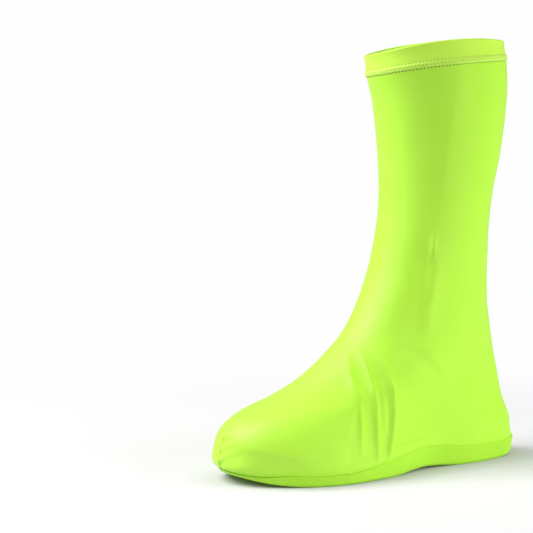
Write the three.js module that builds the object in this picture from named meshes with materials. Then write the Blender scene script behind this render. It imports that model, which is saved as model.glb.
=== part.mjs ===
// Pull-on shoe cover for the left foot, in stretch fabric, standing on its sole.
// Millimetres, +Z up, toe towards -Y, outer side of the foot towards +X.
import * as THREE from "three";

// Driving dimensions
const coverLength = 294;    // toe to heel over the cloth
const coverHeight = 361;    // floor to the top edge at the back of the leg
const soleWidth = 108;      // sole across the ball of the foot
const legDepth = 130;       // leg opening, front to back
const legWidth = 104;       // leg opening, side to side
const clothWall = 1.4;      // single layer of knit
const hemWall = 2.4;        // hem turned in, two layers
const hemFront = 15.6;      // hem from its seam to the top edge, at the front of the leg
const hemBack = 13;         // and at the back
const seamHeight = 4.2;     // coverstitch seam, along the leg
const seamProud = 0.8;      // coverstitch seam, out from the cloth
const toeSeamWidth = 4.6;   // closing seam at the tip of the toe
const toeSeamProud = 1;
const hemHollow = 0.6;      // hollow of the hem between its seam and its top edge
const wallRise = 6;         // swell of the cloth just above the sole band
const toeBulge = 8;         // how far the cloth stands out past the band at the toe
const sideBulge = 1.2;      // and at the sides
const heelTuck = 0.6;       // how far it stays inside the band at the heel
const foldWidth = 8;        // half the width of the widest folds
const foldDepth = 3;        // depth of the deepest
const bandWall = 1.8;       // sole band
const bandLip = 1.2;        // rolled upper edge of the sole band, out from its wall
const bandToe = 4.2;        // heights of the sole band round the foot
const bandBall = 9;
const bandWaist = 18;
const bandHeel = 15.5;
const bandEdgeRound = 3;    // rounded lower edge of the sole band
const plateWall = 2.4;      // sole plate inside the band
const toeSpring = 10;       // rise of the sole at the toe
const archRise = 2.5;       // rise of the sole under the waist of the foot
const heelRise = 2.5;       // rise of the sole at the very back
const gap = 0.3;            // clearance between neighbouring pieces

// Where the sole leaves the floor, as shares of the length from the toe
const springStart = 0.21;
const archStart = 0.46;
const archMiddle = 0.6;
const archEnd = 0.75;
const heelRiseStart = 0.87;
const legAxis = 0.726;

// Sole outline from the tip of the toe round the outer side.
// across is a share of soleWidth, along a share of coverLength from the toe.
const soleOutline = [
  { name: "toe_tip", across: -0.056, along: 0.03 },
  { name: "toe_outer", across: 0.225, along: 0.071 },
  { name: "ball_front_outer", across: 0.426, along: 0.187 },
  { name: "ball_outer", across: 0.5, along: 0.316 },
  { name: "waist_front_outer", across: 0.463, along: 0.47 },
  { name: "waist_outer", across: 0.352, along: 0.63 },
  { name: "heel_outer", across: 0.343, along: 0.793 },
  { name: "heel_corner_outer", across: 0.24, along: 0.944 },
  { name: "heel_tip", across: 0, along: 0.993 },
  { name: "heel_corner_inner", across: -0.24, along: 0.944 },
  { name: "heel_inner", across: -0.324, along: 0.793 },
  { name: "waist_inner", across: -0.25, along: 0.62 },
  { name: "waist_front_inner", across: -0.296, along: 0.46 },
  { name: "ball_inner", across: -0.435, along: 0.303 },
  { name: "ball_front_inner", across: -0.444, along: 0.18 },
  { name: "toe_inner", across: -0.315, along: 0.07 },
];

// Cross sections of the foot, low to high. front and back are shares of coverLength from the toe,
// frontUp and backUp shares of coverHeight, width a share of soleWidth, widest the place of the
// greatest width, and sole how much of the sole's outline the section keeps. turn is how far, in
// degrees, the points at the sides are drawn forwards, so that the mesh runs along the waist's folds.
const footSections = [
  { name: "wall", front: 0.005, frontUp: 0.073, back: 0.984, backUp: 0.098, width: 0.5, widest: 0.3,
    frontRound: 2.3, backRound: 2.5, sole: 0.9, turn: 0 },
  { name: "toe_face", front: 0.02, frontUp: 0.111, back: 0.958, backUp: 0.15, width: 0.472,
    widest: 0.32, frontRound: 2.2, backRound: 2.4, sole: 0.75, turn: 0 },
  { name: "toe_cap", front: 0.066, frontUp: 0.144, back: 0.942, backUp: 0.212, width: 0.435,
    widest: 0.36, frontRound: 2.1, backRound: 2.3, sole: 0.5, turn: 0 },
  { name: "toe_back", front: 0.163, frontUp: 0.175, back: 0.927, backUp: 0.268, width: 0.398,
    widest: 0.45, frontRound: 2, backRound: 2.2, sole: 0.2, turn: 8 },
  { name: "vamp", front: 0.255, frontUp: 0.211, back: 0.915, backUp: 0.324, width: 0.38,
    widest: 0.52, frontRound: 2, backRound: 2.1, sole: 0, turn: 23 },
  { name: "instep", front: 0.347, frontUp: 0.262, back: 0.902, backUp: 0.38, width: 0.37,
    widest: 0.54, frontRound: 2, backRound: 2.1, sole: 0, turn: 33 },
  { name: "throat", front: 0.432, frontUp: 0.325, back: 0.896, backUp: 0.439, width: 0.37,
    widest: 0.53, frontRound: 2.1, backRound: 2.1, sole: 0, turn: 44 },
];

// Cross sections of the leg. front and back are shares of legDepth from the leg's axis, width of
// legWidth. The seam and the rim take their heights from the hem.
const legSections = [
  { name: "ankle", front: -0.527, frontUp: 0.411, back: 0.381, backUp: 0.5, width: 0.394, turn: 30 },
  { name: "shin", front: -0.435, frontUp: 0.506, back: 0.381, backUp: 0.573, width: 0.404, turn: 14 },
  { name: "calf_low", front: -0.381, frontUp: 0.612, back: 0.404, backUp: 0.654, width: 0.423, turn: 4 },
  { name: "calf", front: -0.381, frontUp: 0.726, back: 0.458, backUp: 0.751, width: 0.46, turn: 0 },
  { name: "calf_high", front: -0.42, frontUp: 0.85, back: 0.496, backUp: 0.88, width: 0.495, turn: 0 },
];
const seamSection = { front: -0.472, frontUp: 0.97, back: 0.483, backUp: 1, width: 0.505, turn: 0 };
const rimSection = { front: -0.493, frontUp: 0.97, back: 0.469, backUp: 1, width: 0.5, turn: 0 };
const legRound = 2.1;

// How the hem's two edges leave the plane of their fronts and backs, as shares of hemFront: up at
// both sides, up on the outer side and down on the inner, and up at the front of the outer side.
const seamRise = { sides: 0.07, outer: 0.19, forward: 0.19 };
const rimRise = { sides: 0.28, outer: 0.19, forward: 0.26 };
const levelRise = { sides: 0, outer: 0, forward: 0 };

// Folds in the cloth, as seen square to the side of the cover. along is a share of coverLength from
// the toe and up a share of coverHeight. bow is how far a fold arches towards the heel, as a share
// of its own length. wide and deep are shares of foldWidth and foldDepth, and a valley is below 0.
const outerFolds = [
  { name: "pressed_crease", along: 0.645, up: 0.93, toAlong: 0.627, toUp: 0.53, bow: 0, wide: 1, deep: 0.53 },
  { name: "ankle_pinch", along: 0.627, up: 0.565, toAlong: 0.625, toUp: 0.485, bow: 0, wide: 0.375, deep: 0.4 },
  { name: "ankle_valley", along: 0.628, up: 0.53, toAlong: 0.54, toUp: 0.27, bow: 0, wide: 1, deep: -0.8 },
  { name: "tension_high", along: 0.54, up: 0.312, toAlong: 0.7, toUp: 0.2, bow: 0.04, wide: 0.7, deep: 0.6 },
  { name: "tension_low", along: 0.51, up: 0.275, toAlong: 0.63, toUp: 0.2, bow: 0.04, wide: 0.6, deep: 0.35 },
  { name: "waist_ridge", along: 0.458, up: 0.29, toAlong: 0.436, toUp: 0.03, bow: 0.11, wide: 0.48, deep: 0.85 },
  { name: "waist_valley", along: 0.452, up: 0.26, toAlong: 0.426, toUp: 0.035, bow: 0.07, wide: 0.44, deep: -1 },
  { name: "second_ridge", along: 0.42, up: 0.265, toAlong: 0.401, toUp: 0.045, bow: 0.075, wide: 0.46, deep: 0.7 },
  { name: "second_valley", along: 0.392, up: 0.24, toAlong: 0.385, toUp: 0.06, bow: 0.04, wide: 0.44, deep: -0.75 },
  { name: "third_ridge", along: 0.388, up: 0.245, toAlong: 0.351, toUp: 0.1, bow: 0, wide: 0.46, deep: 0.5 },
  { name: "third_valley", along: 0.372, up: 0.215, toAlong: 0.33, toUp: 0.12, bow: 0, wide: 0.46, deep: -0.45 },
  { name: "vamp_ridge", along: 0.389, up: 0.255, toAlong: 0.316, toUp: 0.14, bow: 0, wide: 0.6, deep: 0.4 },
  { name: "toe_rand", along: 0.01, up: 0.096, toAlong: 0.26, toUp: 0.064, bow: 0, wide: 0.62, deep: 0.47 },
];
const innerFolds = [
  { name: "ankle_pinch", along: 0.56, up: 0.48, toAlong: 0.63, toUp: 0.462, bow: 0, wide: 0.5, deep: -0.47 },
  { name: "ankle_ridge", along: 0.585, up: 0.48, toAlong: 0.67, toUp: 0.25, bow: 0, wide: 1, deep: 0.73 },
  { name: "ankle_valley", along: 0.54, up: 0.42, toAlong: 0.61, toUp: 0.22, bow: 0, wide: 0.88, deep: -0.6 },
  { name: "heel_tension", along: 0.64, up: 0.22, toAlong: 0.8, toUp: 0.05, bow: 0, wide: 0.88, deep: 0.6 },
  { name: "waist_ridge", along: 0.5, up: 0.26, toAlong: 0.475, toUp: 0.05, bow: 0.06, wide: 0.62, deep: 0.67 },
  { name: "waist_valley", along: 0.46, up: 0.24, toAlong: 0.445, toUp: 0.05, bow: 0.05, wide: 0.62, deep: -0.73 },
  { name: "second_ridge", along: 0.42, up: 0.23, toAlong: 0.41, toUp: 0.07, bow: 0.04, wide: 0.62, deep: 0.47 },
];

// Columns of the mesh round the cover, closer together where the cloth is folded.
const columnSpans = [
  { name: "toe_outer", from: 0, to: 60, steps: 7 },
  { name: "waist_outer", from: 60, to: 96, steps: 20 },
  { name: "heel_outer", from: 96, to: 180, steps: 10 },
  { name: "heel_inner", from: 180, to: 264, steps: 8 },
  { name: "waist_inner", from: 264, to: 300, steps: 8 },
  { name: "toe_inner", from: 300, to: 360, steps: 6 },
];
const footSteps = 3;        // rings of the mesh from one section to the next
const legSteps = 2;
const foldEnds = 0.6;       // below 1, a fold keeps its height for most of its length

const degree = Math.PI / 180;

function smoothStep(from, to, value) {
  const share = Math.min(Math.max((value - from) / (to - from), 0), 1);
  return share * share * (3 - 2 * share);
}

// Point at share u of the way from b to c on a smooth curve through a, b, c and d.
function catmullRom(a, b, c, d, u) {
  const square = u * u;
  const cube = square * u;
  return 0.5 * (2 * b + (c - a) * u + (2 * a - 5 * b + 4 * c - d) * square + (3 * b - a - 3 * c + d) * cube);
}

function alongToY(along) {
  return (along - 0.5) * coverLength;
}

// Height of the underside of the sole at a place along the foot.
function soleRise(y) {
  const along = y / coverLength + 0.5;
  const toe = Math.max((springStart - along) / springStart, 0);
  const arch = smoothStep(archStart, archMiddle, along) - smoothStep(archMiddle, archEnd, along);
  const heel = Math.max((along - heelRiseStart) / (1 - heelRiseStart), 0);
  return toeSpring * toe * toe + archRise * arch + heelRise * heel * heel;
}

// Height of the sole band over the underside of the sole.
function bandHeight(y) {
  const along = y / coverLength + 0.5;
  return bandToe
    + (bandBall - bandToe) * smoothStep(0.02, 0.16, along)
    + (bandWaist - bandBall) * smoothStep(0.27, 0.56, along)
    + (bandHeel - bandWaist) * smoothStep(0.66, 0.85, along);
}

// Sole outline at an angle, moved outwards by the given distance.
function outlinePoint(angle, outwards) {
  const count = soleOutline.length;
  const position = (((angle / 360) % 1) + 1) % 1 * count;
  const index = Math.floor(position);
  const u = position - index;
  const rows = [-1, 0, 1, 2].map((step) => soleOutline[(index + step + count) % count]);
  const x = catmullRom(...rows.map((row) => row.across), u) * soleWidth;
  const y = alongToY(catmullRom(...rows.map((row) => row.along), u));
  const ahead = rows.map((row) => row.across * soleWidth);
  const beside = rows.map((row) => alongToY(row.along));
  const step = 0.01;
  const dx = catmullRom(...ahead, u + step) - catmullRom(...ahead, u - step);
  const dy = catmullRom(...beside, u + step) - catmullRom(...beside, u - step);
  const length = Math.hypot(dx, dy);
  return { x: x + (dy / length) * outwards, y: y - (dx / length) * outwards };
}

const outlineLow = Math.min(...soleOutline.map((row) => row.along));
const outlineHigh = Math.max(...soleOutline.map((row) => row.along));

// Ring of one cross section of the foot or the leg.
function sectionPoint(section, angle) {
  const side = Math.sin(angle * degree);
  const turned = angle - section.turn * side * Math.abs(side);
  const cosine = Math.cos(turned * degree);
  const sine = Math.sin(turned * degree);
  const round = cosine >= 0 ? section.frontRound : section.backRound;
  const reach = Math.abs(cosine) ** (2 / round);
  let along = cosine >= 0 ? section.widest * (1 - reach) : section.widest + (1 - section.widest) * reach;
  let x = Math.sign(sine) * section.halfWidth * Math.abs(sine) ** (2 / round);
  if (section.sole > 0) {
    const outline = outlinePoint(angle, 0);
    const share = (outline.y / coverLength + 0.5 - outlineLow) / (outlineHigh - outlineLow);
    along += (share - along) * section.sole;
    x += (outline.x * section.halfWidth / (soleWidth / 2) - x) * section.sole;
  }
  const y = section.frontY + (section.backY - section.frontY) * along;
  const z = section.frontZ + (section.backZ - section.frontZ) * along
    + section.rise.sides * sine ** 2 + section.rise.outer * sine + section.rise.forward * sine * cosine;
  return new THREE.Vector3(x, y, z);
}

function footSection(row) {
  return {
    frontY: alongToY(row.front), backY: alongToY(row.back),
    frontZ: row.frontUp * coverHeight, backZ: row.backUp * coverHeight,
    halfWidth: row.width * soleWidth, widest: row.widest,
    frontRound: row.frontRound, backRound: row.backRound, sole: row.sole, turn: row.turn, rise: levelRise,
  };
}

// Lowered, a section lies under the rim by the height of the hem.
function legSection(row, rise, lowered) {
  const axis = alongToY(legAxis);
  return {
    frontY: axis + row.front * legDepth, backY: axis + row.back * legDepth,
    frontZ: row.frontUp * coverHeight - lowered * hemFront, backZ: row.backUp * coverHeight - lowered * hemBack,
    halfWidth: row.width * legWidth, widest: 0.5,
    frontRound: legRound, backRound: legRound, sole: 0, turn: row.turn,
    rise: { sides: rise.sides * hemFront, outer: rise.outer * hemFront, forward: rise.forward * hemFront },
  };
}

// Ring of cloth at the sole: tucked behind the band, or swelling out above it.
function tuckPoint(angle) {
  const outline = outlinePoint(angle, -bandWall - gap);
  const foot = outlinePoint(angle, 0);
  return new THREE.Vector3(outline.x, outline.y, soleRise(foot.y) + plateWall + gap);
}

function featherPoint(angle) {
  const outline = outlinePoint(angle, -bandWall - gap);
  const foot = outlinePoint(angle, 0);
  return new THREE.Vector3(outline.x, outline.y, soleRise(foot.y) + bandHeight(foot.y));
}

function wallPoint(angle) {
  const atToe = Math.max(Math.cos(angle * degree), 0) ** 3;
  const atHeel = Math.max(-Math.cos(angle * degree), 0) ** 2;
  const outwards = sideBulge + (toeBulge - sideBulge) * atToe - (heelTuck + sideBulge) * atHeel;
  const outline = outlinePoint(angle, outwards);
  const foot = outlinePoint(angle, 0);
  return new THREE.Vector3(outline.x, outline.y, soleRise(foot.y) + bandHeight(foot.y) + wallRise);
}

const leg = [
  ...legSections.map((row) => legSection(row, levelRise, 0)),
  legSection(seamSection, seamRise, 1),
  legSection(rimSection, rimRise, 0),
];
const rings = [
  tuckPoint,
  featherPoint,
  wallPoint,
  ...[...footSections.map(footSection), ...leg].map((section) => (angle) => sectionPoint(section, angle)),
];
const featherLevel = 1;
const ankleLevel = featherLevel + 2 + footSections.length;
const seamLevel = rings.length - 2;
const rimLevel = rings.length - 1;

// Point of the smooth cover before folds, at a level between the rings.
function smoothPoint(level, angle) {
  const index = Math.min(Math.max(Math.floor(level), 0), rimLevel - 1);
  const u = level - index;
  const here = rings[index](angle);
  const next = rings[index + 1](angle);
  // The tuck behind the band is straight, and the swell starts afresh above it.
  if (index < featherLevel) return here.lerp(next, u);
  const before = index > featherLevel ? rings[index - 1](angle) : here.clone().multiplyScalar(2).sub(next);
  const after = index + 2 <= rimLevel ? rings[index + 2](angle) : next.clone().multiplyScalar(2).sub(here);
  return new THREE.Vector3(
    catmullRom(before.x, here.x, next.x, after.x, u),
    catmullRom(before.y, here.y, next.y, after.y, u),
    catmullRom(before.z, here.z, next.z, after.z, u),
  );
}

function outwardNormal(level, angle) {
  const stepLevel = 0.02;
  const stepAngle = 0.5;
  const low = level < featherLevel ? level : Math.max(level - stepLevel, featherLevel);
  const up = smoothPoint(Math.min(level + stepLevel, rimLevel), angle).sub(smoothPoint(low, angle));
  const round = smoothPoint(level, angle + stepAngle).sub(smoothPoint(level, angle - stepAngle));
  return round.cross(up).normalize();
}

// How far the folds push the cloth out at a place.
function foldHeight(level, point, normal) {
  const folds = normal.x > 0 ? outerFolds : innerFolds;
  let out = 0;
  for (const fold of folds) {
    const startY = alongToY(fold.along);
    const startZ = fold.up * coverHeight;
    const runY = alongToY(fold.toAlong) - startY;
    const runZ = fold.toUp * coverHeight - startZ;
    const run = Math.hypot(runY, runZ);
    const share = ((point.y - startY) * runY + (point.z - startZ) * runZ) / (run * run);
    if (share <= 0 || share >= 1) continue;
    const arch = fold.bow * run * 4 * share * (1 - share);
    const aside = ((point.y - startY) * runZ - (point.z - startZ) * runY) / run + arch;
    const away = aside / (fold.wide * foldWidth);
    out += fold.deep * foldDepth * Math.sin(Math.PI * share) ** foldEnds * Math.exp(-away * away);
  }
  // The folds die away where the cloth turns to the front or the back, and at the sole band.
  const sideways = smoothStep(0.05, 0.5, Math.abs(normal.x));
  return out * sideways * smoothStep(featherLevel, featherLevel + 0.8, level);
}

function clothPoint(level, angle, inwards) {
  const point = smoothPoint(level, angle);
  const normal = outwardNormal(level, angle);
  return point.addScaledVector(normal, foldHeight(level, point, normal) - inwards);
}

const columns = columnSpans.flatMap(({ from, to, steps }) => (
  Array.from({ length: steps }, (_, step) => from + (to - from) * step / steps)
));

function indexedGeometry(positions, indices) {
  const geometry = new THREE.BufferGeometry();
  geometry.setAttribute("position", new THREE.Float32BufferAttribute(positions, 3));
  geometry.setIndex(indices);
  return geometry;
}

// Closed body from rings of points: round every ring, and from the last ring back to the first.
function ringBody(ringList) {
  const size = ringList[0].length;
  const positions = ringList.flat().flatMap((point) => [point.x, point.y, point.z]);
  const indices = [];
  for (let ring = 0; ring < ringList.length; ring += 1) {
    const nextRing = (ring + 1) % ringList.length;
    for (let column = 0; column < size; column += 1) {
      const nextColumn = (column + 1) % size;
      const a = ring * size + column;
      const b = ring * size + nextColumn;
      const c = nextRing * size + nextColumn;
      const d = nextRing * size + column;
      const first = ringList[ring][column].distanceTo(ringList[nextRing][nextColumn]);
      const second = ringList[ring][nextColumn].distanceTo(ringList[nextRing][column]);
      if (first <= second) indices.push(a, b, c, a, c, d);
      else indices.push(a, b, d, b, c, d);
    }
  }
  return indexedGeometry(positions, indices);
}

// Closed body from a stack of rings, with both ends closed by chords from side to side. The ring
// runs out along one side to the turn and comes back along the other.
function endedBody(ringList, turn) {
  const size = ringList[0].length;
  const positions = ringList.flat().flatMap((point) => [point.x, point.y, point.z]);
  const indices = [];
  for (let ring = 0; ring + 1 < ringList.length; ring += 1) {
    for (let column = 0; column < size; column += 1) {
      const nextColumn = (column + 1) % size;
      const a = ring * size + column;
      const b = ring * size + nextColumn;
      indices.push(a, b, b + size, a, b + size, a + size);
    }
  }
  const top = (ringList.length - 1) * size;
  const bottom = ringList[0];
  let out = 0;
  let back = size - 1;
  indices.push(0, back, 1, top, top + 1, top + back);
  out = 1;
  while (out < turn || back > turn) {
    const stepOut = out < turn ? bottom[out + 1].distanceTo(bottom[back]) : Infinity;
    const stepBack = back > turn + 1 ? bottom[out].distanceTo(bottom[back - 1]) : Infinity;
    if (stepOut === Infinity && stepBack === Infinity) break;
    const next = stepOut <= stepBack ? out + 1 : back - 1;
    indices.push(out, back, next, top + out, top + next, top + back);
    if (stepOut <= stepBack) out += 1;
    else back -= 1;
  }
  return indexedGeometry(positions, indices);
}

// Level a few millimetres above or below the hem's seam, at an angle.
function seamLevelAt(millimetres, angle) {
  const neighbour = smoothPoint(seamLevel + Math.sign(millimetres), angle);
  return seamLevel + millimetres / smoothPoint(seamLevel, angle).distanceTo(neighbour);
}

function clothRing(level, inwards) {
  return columns.map((angle) => clothPoint(level, angle, inwards));
}

function seamSideRing(millimetres, inwards) {
  return columns.map((angle) => clothPoint(seamLevelAt(millimetres, angle), angle, inwards));
}

// Upper: one layer of knit from the sole plate to the hem.
const upperLevels = [0, featherLevel];
for (let level = featherLevel; level < seamLevel - 1; level += 1) {
  const steps = level < ankleLevel - 1 ? footSteps : legSteps;
  for (let step = 1; step <= steps; step += 1) upperLevels.push(level + step / steps);
}
const upperFaces = [0, clothWall].map((inwards) => [
  ...upperLevels.map((level) => clothRing(level, inwards)),
  seamSideRing(-gap / 2, inwards),
]);
const upper = ringBody([...upperFaces[0], ...upperFaces[1].reverse()]);

// Hem: two layers from the seam to a rounded top edge, a little hollow between them.
const hemShares = [0.33, 0.66, 1 - hemWall / 2 / hemFront];
const hemFaces = [0, hemWall].map((inwards) => [
  seamSideRing(gap / 2, inwards),
  ...hemShares.map((share) => clothRing(seamLevel + share, inwards + hemHollow * Math.sin(Math.PI * share))),
]);
const hemCrown = clothRing(rimLevel, hemWall / 2);
const hem = ringBody([...hemFaces[0], hemCrown, ...hemFaces[1].reverse()]);

// Coverstitch seam: a low ridge round the leg over the join of upper and hem.
const seamProfile = [
  { up: -0.5, out: 0 },
  { up: -0.5, out: 0.35 },
  { up: -0.28, out: 1 },
  { up: 0.28, out: 1 },
  { up: 0.5, out: 0.35 },
  { up: 0.5, out: 0 },
];
const seam = ringBody(seamProfile.map(({ up, out }) => (
  seamSideRing(up * seamHeight, -gap - out * seamProud)
)));

// Closing seam down the tip of the toe: a strip laid on the cloth, closed at both ends.
const toeSeamLevels = Array.from({ length: 8 }, (_, step) => featherLevel + 0.7 + step * 0.4);
const toeSeamProfile = [
  { aside: -0.5, out: 0 },
  { aside: -0.38, out: 1 },
  { aside: 0.38, out: 1 },
  { aside: 0.5, out: 0 },
];
const toeSeamRings = toeSeamLevels.map((level) => {
  const perDegree = smoothPoint(level, 0.5).distanceTo(smoothPoint(level, -0.5));
  return toeSeamProfile.map(({ aside, out }) => (
    clothPoint(level, aside * toeSeamWidth / perDegree, -gap - out * toeSeamProud)
  ));
});
const toeSeam = endedBody(toeSeamRings, toeSeamProfile.length / 2);

// Sole band: a rounded foot, an outer wall with a rolled lip, and an inner wall.
const bandProfile = [
  { out: 0, edge: -1, foot: 0, share: 0 },
  { out: 0, edge: -0.3, foot: 0.3, share: 0 },
  { out: 0, edge: 0, foot: 1, share: 0 },
  { out: 0, edge: 0, foot: 1, share: 0.55 },
  { out: bandLip, edge: 0, foot: 1, share: 0.8 },
  { out: bandLip * 0.5, edge: 0, foot: 1, share: 1 },
  { out: -0.5 * bandWall, edge: 0, foot: 1, share: 1 },
  { out: -bandWall, edge: 0, foot: 1, share: 0.8 },
  { out: -bandWall, edge: 0, foot: 0.3, share: 0 },
];
const band = ringBody(bandProfile.map(({ out, edge, foot, share }) => columns.map((angle) => {
  const middle = outlinePoint(angle, 0);
  const height = bandHeight(middle.y);
  const footHeight = Math.min(bandEdgeRound, height / 2);
  const outline = outlinePoint(angle, Math.max(out + edge * footHeight, -bandWall));
  const z = soleRise(middle.y) + foot * footHeight + share * (height - footHeight);
  return new THREE.Vector3(outline.x, outline.y, z);
})));

// Sole plate inside the band. Chords from side to side keep its underside flat on the floor.
const plateRings = [0, plateWall].map((up) => columns.map((angle) => {
  const outline = outlinePoint(angle, -bandWall - gap);
  return new THREE.Vector3(outline.x, outline.y, soleRise(outline.y) + up);
}));
const plate = endedBody(plateRings, columns.indexOf(180));

const piece = (name, geometry, colour, roughness) => {
  geometry.computeVertexNormals();
  const mesh = new THREE.Mesh(geometry, new THREE.MeshStandardMaterial({ color: colour, roughness, metalness: 0 }));
  mesh.name = name;
  return mesh;
};

const cover = new THREE.Group();
cover.add(piece("upper", upper, 0xc3f45a, 0.75));
cover.add(piece("hem_band", hem, 0xc6f65e, 0.75));
cover.add(piece("hem_seam", seam, 0xc9f764, 0.8));
cover.add(piece("toe_seam", toeSeam, 0xcdf86c, 0.75));
cover.add(piece("sole_band", band, 0xbdf04c, 0.6));
cover.add(piece("outsole", plate, 0xb4e84a, 0.8));

// The origin is on the floor, under the middle of the whole cover.
const box = new THREE.Box3().setFromObject(cover);
const middle = box.getCenter(new THREE.Vector3());
cover.position.set(-middle.x, -middle.y, -box.min.z);

export default cover;
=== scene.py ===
# Pull-on shoe cover for the left foot, in lime stretch fabric, standing open and empty.
# Metres, +Z up, toe towards -Y, outer side of the foot towards +X. Sizes named _mm are millimetres.
import math

import bmesh
import bpy
import numpy as np
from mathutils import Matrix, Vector


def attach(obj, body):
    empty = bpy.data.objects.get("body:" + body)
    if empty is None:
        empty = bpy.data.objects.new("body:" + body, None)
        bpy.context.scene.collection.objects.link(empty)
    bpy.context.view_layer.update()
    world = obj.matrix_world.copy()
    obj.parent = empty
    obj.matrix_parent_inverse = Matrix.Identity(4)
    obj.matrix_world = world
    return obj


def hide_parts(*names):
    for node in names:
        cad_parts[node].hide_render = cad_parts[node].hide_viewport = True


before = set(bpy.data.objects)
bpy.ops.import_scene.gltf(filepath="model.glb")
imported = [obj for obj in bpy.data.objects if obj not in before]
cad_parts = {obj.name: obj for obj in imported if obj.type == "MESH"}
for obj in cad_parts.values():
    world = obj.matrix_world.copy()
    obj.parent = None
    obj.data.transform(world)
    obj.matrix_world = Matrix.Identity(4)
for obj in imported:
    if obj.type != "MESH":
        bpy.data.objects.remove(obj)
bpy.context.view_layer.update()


# The sole plate: a thin moulded sheet of soft elastomer under the foot, with a fine grip grain on
# its underside. It springs up at the toe and rises a little under the waist. The cloth and the band
# are bonded to its edge.
cover_length_mm = 294
cover_height_mm = 361
sole_width_mm = 108
plate_wall_mm = 2.4
band_wall_mm = 1.8
gap_mm = 0.3
toe_spring_mm = 10
arch_rise_mm = 2.5
heel_rise_mm = 2.5
# Where the sole leaves the floor, as shares of the length from the toe.
spring_start = 0.21
arch_start = 0.46
arch_middle = 0.6
arch_end = 0.75
heel_rise_start = 0.87

# Outline of the sole from the tip of the toe round the outer side, as shares of its width, across,
# and of the cover's length from the toe, along.
sole_outline = [
    # across, along
    (-0.056, 0.03),  # toe tip
    (0.225, 0.071),
    (0.426, 0.187),
    (0.5, 0.316),  # ball, outer side
    (0.463, 0.47),
    (0.352, 0.63),
    (0.343, 0.793),
    (0.24, 0.944),
    (0, 0.993),  # heel tip
    (-0.24, 0.944),
    (-0.324, 0.793),
    (-0.25, 0.62),
    (-0.296, 0.46),
    (-0.435, 0.303),  # ball, inner side
    (-0.444, 0.18),
    (-0.315, 0.07),
]

# The outline is drawn about the leg's middle, and the part's frame about the middle of its box.
outline_to_frame_mm = np.array([-0.9988, 0.9317, 0])


def smooth_step(start, end, value):
    share = np.clip((value - start) / (end - start), 0, 1)
    return share * share * (3 - 2 * share)


def catmull_rom(a, b, c, d, u):
    bend = (2 * a - 5 * b + 4 * c - d) * u**2 + (3 * b - a - 3 * c + d) * u**3
    return 0.5 * (2 * b + (c - a) * u + bend)


def catmull_rom_slope(a, b, c, d, u):
    return 0.5 * ((c - a) + 2 * (2 * a - 5 * b + 4 * c - d) * u + 3 * (3 * b - a - 3 * c + d) * u**2)


def sole_rise(y):
    """Height of the underside of the sole at a place along the foot, all in mm."""
    along = y / cover_length_mm + 0.5
    toe = np.maximum((spring_start - along) / spring_start, 0)
    arch = smooth_step(arch_start, arch_middle, along) - smooth_step(arch_middle, arch_end, along)
    heel = np.maximum((along - heel_rise_start) / (1 - heel_rise_start), 0)
    return toe_spring_mm * toe**2 + arch_rise_mm * arch + heel_rise_mm * heel**2


def outline_point(angle, outwards):
    """Outline of the sole at angles from the toe, moved outwards by the given distance."""
    rows = np.array(sole_outline)
    place = (angle / 360 % 1) * len(rows)
    index = np.floor(place).astype(int)
    near = [rows[(index + step) % len(rows)] for step in (-1, 0, 1, 2)]
    u = (place - index)[..., None]
    size = np.array([sole_width_mm, cover_length_mm])
    point = (catmull_rom(*near, u) - [0, 0.5]) * size
    slope = catmull_rom_slope(*near, u) * size
    slope /= np.linalg.norm(slope, axis=-1, keepdims=True)
    return point[..., 0] + slope[..., 1] * outwards, point[..., 1] - slope[..., 0] * outwards


def linear_colour(hex_code):
    """Linear colour, with alpha, from an sRGB hex code."""
    channels = [int(hex_code[i : i + 2], 16) / 255 for i in (0, 2, 4)]
    return [c / 12.92 if c <= 0.04045 else ((c + 0.055) / 1.055) ** 2.4 for c in channels] + [1]


def add_node(tree, kind, settings=None, **inputs):
    """Add a node. An input takes a value, or the output socket that feeds it."""
    node = tree.nodes.new(kind)
    for name, value in (settings or {}).items():
        setattr(node, name, value)
    for name, value in inputs.items():
        key = int(name[1:]) if name[0] == "n" and name[1:].isdigit() else name.replace("_", " ")
        if isinstance(value, bpy.types.NodeSocket):
            tree.links.new(value, node.inputs[key])
        else:
            node.inputs[key].default_value = value
    return node


def new_material(name):
    material = bpy.data.materials.new(name)
    material.use_nodes = True
    material.node_tree.nodes.clear()
    return material, material.node_tree


def new_piece(name, mesh_maker, material, smooth=True):
    """Make an object at the origin from a bmesh and give it its material."""
    mesh = bpy.data.meshes.new(name)
    mesh_maker.to_mesh(mesh)
    mesh_maker.free()
    mesh.polygons.foreach_set("use_smooth", [smooth] * len(mesh.polygons))
    piece = bpy.data.objects.new(name, mesh)
    bpy.context.scene.collection.objects.link(piece)
    mesh.materials.append(material)
    return piece


plate_dark = "9fd436"
plate_light = "a9dd3c"
plate_columns = 240
plate_strip_mm = 4
plate_last_strip_mm = 1
plate_edge_mm = 0.5
sharp_edge = 1.2  # radians

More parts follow.
